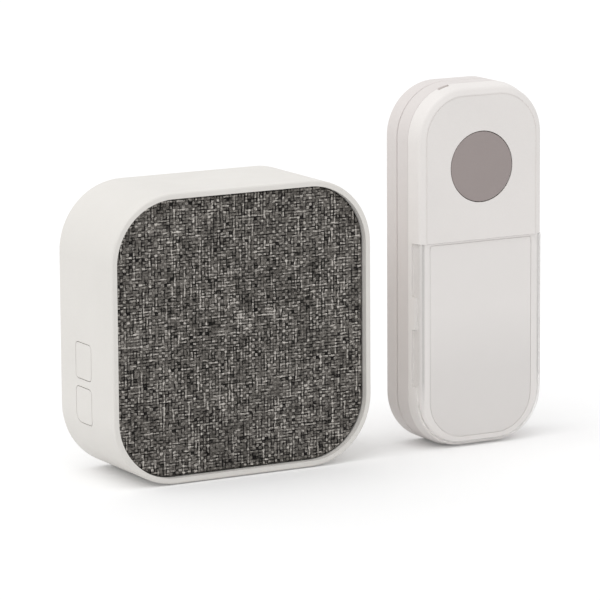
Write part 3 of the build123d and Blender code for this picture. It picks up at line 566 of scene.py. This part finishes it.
def sleeve_material(cell, nub_right):
    """Sleeve of an AA cell: a slate body, a plain pale band at the nub, and bare steel at both ends."""
    made, g, shader, place = material(f"{cell}_sleeve")
    low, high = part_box(cell)
    nub_end, plain_end = (high.x, low.x) if nub_right else (low.x, high.x)
    along = g.parts(place)["X"]
    from_nub = g.maths("ABSOLUTE", g.maths("SUBTRACT", along, nub_end))
    from_plain = g.maths("ABSOLUTE", g.maths("SUBTRACT", along, plain_end))
    streaks = g.noise(place, 700.0)
    rubbed = g.noise(place, 260.0, detail=4.0, roughness=0.7)
    body = g.mix(streaks, (0.060, 0.072, 0.085, 1), (0.078, 0.092, 0.108, 1))
    band = g.mix(streaks, (0.520, 0.525, 0.510, 1), (0.600, 0.605, 0.590, 1))
    steel = g.mix(rubbed, (0.480, 0.480, 0.490, 1), (0.640, 0.640, 0.650, 1))
    sleeve = g.mix(g.maths("LESS_THAN", from_nub, cell_band), body, band)
    nub_bare = g.maths("LESS_THAN", from_nub, cell_nub_bare)
    plain_bare = g.maths("LESS_THAN", from_plain, cell_plain_bare)
    bare = g.either(nub_bare, plain_bare)
    g.plug(shader.inputs["Base Color"], g.mix(bare, sleeve, steel))
    g.plug(shader.inputs["Metallic"], bare)
    g.plug(shader.inputs["Roughness"], g.vary(rubbed, 0.22, 0.36))
    g.plug(shader.inputs["Normal"], g.bump(streaks, brush_relief))
    return made


def new_object(name, net, look):
    """Turns a bmesh into an object with one material."""
    mesh = bpy.data.meshes.new(name)
    net.to_mesh(mesh)
    net.free()
    mesh.materials.append(look)
    made = bpy.data.objects.new(name, mesh)
    bpy.context.scene.collection.objects.link(made)
    return made


def thread_place(line, size):
    """Where a grid line lies: close to the next one at each gap, and far from it over each back."""
    cell, part = divmod(line, len(thread_lines))
    return (cell + thread_lines[part]) * size


def thread_grid(start, front):
    """A flat grid one metre wide, whose vertices are counted and moved onto the threads' lines."""
    columns, rows = thread_counts()
    lines = len(thread_lines)
    net = bmesh.new()
    bmesh.ops.create_grid(net, x_segments=columns * lines, y_segments=rows * lines, size=0.5)
    for vertex in net.verts:
        column = round((vertex.co.x + 0.5) * columns * lines)
        row = round((vertex.co.y + 0.5) * rows * lines)
        x = start[0] + thread_place(column, thread_across)
        z = start[1] + thread_place(row, thread_up)
        vertex.co = (x, front, z)
    return net


def overshoot(x, z, half, corner):
    """How far a point lies outside a rounded square, and which way is outwards there."""
    over = Vector((max(abs(x) - half + corner, 0.0), max(abs(z) - half + corner, 0.0)))
    out = over.length - corner
    if over.length == 0:
        return out, Vector((0.0, 0.0))
    way = over.normalized()
    return out, Vector((way.x if x > 0 else -way.x, way.y if z > 0 else -way.y))


def cut_to_outline(net, centre, half, corner):
    """Cuts the grid to a rounded square, and draws its outermost vertices in to the outline."""
    outside = {}
    for vertex in net.verts:
        outside[vertex] = overshoot(vertex.co.x - centre.x, vertex.co.z - centre.z, half, corner)
    beyond = {vertex for vertex in net.verts if outside[vertex][0] > 0}
    gone = []
    for vertex in net.verts:
        if beyond.issuperset(other for face in vertex.link_faces for other in face.verts):
            gone.append(vertex)
    for vertex in beyond.difference(gone):
        out, way = outside[vertex]
        vertex.co -= Vector((way.x * out, 0.0, way.y * out))
    bmesh.ops.delete(net, geom=gone, context="VERTS")
    slivers = [face for face in net.faces if face.calc_area() < sliver_area]
    bmesh.ops.delete(net, geom=slivers, context="FACES")


def thread_back(off_centre):
    """The round back of a thread, from 1 along its middle to nought at its sides."""
    return sqrt(max(0.0, 1 - (2 * off_centre) ** 2))


def weave_height(x, z, start):
    """The cloth's real relief: each thread waves over and under, and has a round back. A crest is 1."""
    across = (x - start[0]) / thread_across
    up = (z - start[1]) / thread_up
    column = across // 1
    row = up // 1
    back_share = 1 - thread_wave_share
    warp_wave = thread_wave_share * cos(pi * (up - 0.5 + column))
    weft_wave = -thread_wave_share * cos(pi * (across - 0.5 + row))
    warp = warp_wave + back_share * thread_back(across - column - 0.5)
    weft = weft_wave + back_share * thread_back(up - row - 0.5)
    return max(warp, weft)


def wrap_steps(depth):
    """How far each pull takes the rim out and back: round the soft edge, back, and in behind."""
    quarter = pi / 2 / cloth_edge_steps
    steps = []
    for step in range(cloth_edge_steps):
        grow = cloth_soft_edge * (sin(quarter * (step + 1)) - sin(quarter * step))
        back = cloth_soft_edge * (cos(quarter * step) - cos(quarter * (step + 1)))
        steps.append((grow, back))
    return [*steps, (0.0, depth - cloth_soft_edge), (-cloth_thick, 0.0), (0.0, cloth_thick - depth)]


def pull_rim(net, rim, centre, half, grow, back):
    """Extrudes the cloth's rim outwards along the outline and backwards."""
    made = bmesh.ops.extrude_edge_only(net, edges=rim)["geom"]
    for vertex in [item for item in made if isinstance(item, bmesh.types.BMVert)]:
        way = overshoot(vertex.co.x - centre.x, vertex.co.z - centre.z, half, cloth_corner)[1]
        vertex.co += Vector((way.x * grow, back, way.y * grow))
    return [item for item in made if isinstance(item, bmesh.types.BMEdge)]


def woven_front():
    """Cloth stretched over the grille frame: a relief of threads, a soft edge and a wrap."""
    low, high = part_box("fabric_front")
    centre = (low + high) / 2
    half = (high.x - low.x) / 2
    start = cloth_start()
    net = thread_grid(start, low.y)
    cut_to_outline(net, centre, half - cloth_soft_edge, cloth_corner - cloth_soft_edge)
    for vertex in net.verts:
        if not vertex.is_boundary:
            vertex.co.y += thread_relief * (1.0 - weave_height(vertex.co.x, vertex.co.z, start))
    rim = [edge for edge in net.edges if edge.is_boundary]
    for grow, back in wrap_steps(high.y - low.y):
        rim = pull_rim(net, rim, centre, half, grow, back)
    bmesh.ops.recalc_face_normals(net, faces=net.faces)
    for face in net.faces:
        face.smooth = True
    piece = new_object("woven_front", net, cloth_material())
    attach(piece, "chime")
    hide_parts("fabric_front")


def dress(look, *names):
    """Gives CAD nodes their material."""
    for name in names:
        nodes[name].data.materials.clear()
        nodes[name].data.materials.append(look)


def floor_material():
    """A matt pale surface, which shows white to the camera and a little darker to the object."""
    made = bpy.data.materials.new("floor")
    made.use_nodes = True
    g = Graph(made.node_tree)
    made.node_tree.nodes.remove(made.node_tree.nodes["Principled BSDF"])
    matt = g.node("ShaderNodeBsdfDiffuse")
    glow = g.node("ShaderNodeEmission")
    both = g.node("ShaderNodeAddShader")
    seen = g.seen()
    g.plug(matt.inputs["Color"], g.mix(seen, (*[floor_bounce] * 3, 1), (*[floor_seen] * 3, 1)))
    g.plug(glow.inputs["Strength"], g.maths("MULTIPLY", seen, floor_glow))
    g.plug(both.inputs[0], matt.outputs[0])
    g.plug(both.inputs[1], glow.outputs[0])
    g.plug(made.node_tree.nodes["Material Output"].inputs["Surface"], both.outputs[0])
    return made


def floor():
    """A pale floor that shows white and keeps the object's shadow."""
    net = bmesh.new()
    bmesh.ops.create_grid(net, x_segments=1, y_segments=1, size=floor_half)
    bmesh.ops.translate(net, verts=net.verts, vec=(0, 0, -floor_gap))
    new_object("floor", net, floor_material())


def lights():
    """An even sky that shows white, and one very soft lamp from the upper left."""
    world = bpy.data.worlds.new("sky")
    bpy.context.scene.world = world
    world.use_nodes = True
    g = Graph(world.node_tree)
    background = world.node_tree.nodes["Background"]
    g.plug(background.inputs["Color"], (1, 1, 1, 1))
    g.plug(background.inputs["Strength"], g.spread(g.seen(), 0.0, 1.0, sky_strength, 1.0))
    lamp = bpy.data.lights.new("soft_lamp", "SUN")
    lamp.energy = sun_strength
    lamp.angle = sun_angle
    sun = bpy.data.objects.new("soft_lamp", lamp)
    sun.matrix_world = Vector(sun_direction).to_track_quat("Z", "Y").to_matrix().to_4x4()
    bpy.context.scene.collection.objects.link(sun)


moulded = moulded_group()
weave = weave_group()

camera()
floor()
lights()

# Outer plastics and feet
dress(
    plastic("chime_plastic", (0.800, 0.776, 0.738), dull=0.46),
    "case_shell",
    "upper_side_button",
    "lower_side_button",
    "back_cover",
    "battery_door",
)
# The bracket and rear shell take a darker, a little redder copy of the front shell's plastic: painted
# shade on the push's sides
dress(plastic("push_side_shaded_plastic", (0.760, 0.714, 0.695), dull=0.44), "wall_bracket", "rear_shell")
dress(plastic("push_plastic", (0.865, 0.831, 0.808), dull=0.42), "front_shell")
dress(plastic("button_grey", (0.350, 0.300, 0.290), dull=0.5, grain=1900.0), "push_button")
dress(card_material(), "name_card")
dress(clear_material(), "clear_cover")
dress(rubber("foot_rubber", (0.10, 0.10, 0.10)), "foot_strips")

# Inner plastics
dress(plastic("frame_plastic", (0.015, 0.015, 0.016), dull=0.55), "grille_frame")
dress(
    plastic("switch_black", (0.018, 0.018, 0.019), dull=0.3),
    "upper_side_switch",
    "lower_side_switch",
    "push_switch",
)
dress(plastic("holder_black", (0.022, 0.022, 0.023), dull=0.4), "coin_holder")
dress(
    plastic("plunger_nylon", (0.60, 0.57, 0.48), dull=0.4),
    "upper_side_plunger",
    "lower_side_plunger",
    "push_plunger",
    "speaker_socket",
)
dress(plastic("chip_black", (0.02, 0.02, 0.02), dull=0.5), "main_board_chips", "push_chips")

# Speaker
dress(rubber("foam_rubber", (0.03, 0.03, 0.03)), "speaker_gasket")
dress(rubber("surround_rubber", (0.02, 0.02, 0.02), grain=2400.0), "speaker_surround")
dress(
    plastic("cone_paper", (0.035, 0.033, 0.032), dull=0.8, grain=900.0, relief=0.05 * mm),
    "speaker_cone",
    "dust_cap",
)
dress(metal("ferrite", (0.10, 0.10, 0.105), dull=0.5), "speaker_magnet")

# Metals, boards and cells
dress(metal("zinc_steel", (0.62, 0.62, 0.64), dull=0.3), "speaker_basket", "radio_module", "capacitors")
dress(
    metal("screw_steel", (0.56, 0.56, 0.58), dull=0.25),
    "speaker_screws",
    "cover_screws",
    "main_board_screws",
    "side_board_screws",
    "push_board_screws",
)
dress(
    metal("contact_nickel", (0.70, 0.66, 0.58), dull=0.22),
    "left_contacts",
    "right_contacts",
    "cell_strap",
)
dress(metal("coin_steel", (0.72, 0.72, 0.72), dull=0.2), "coin_cell")
dress(board_material(), "main_board", "side_board", "push_board")
for cell, nub_right in (("lower_cell", False), ("middle_cell", True), ("upper_cell", False)):
    dress(sleeve_material(cell, nub_right), cell)

woven_front()

bpy.context.scene.view_settings.view_transform = "Standard"
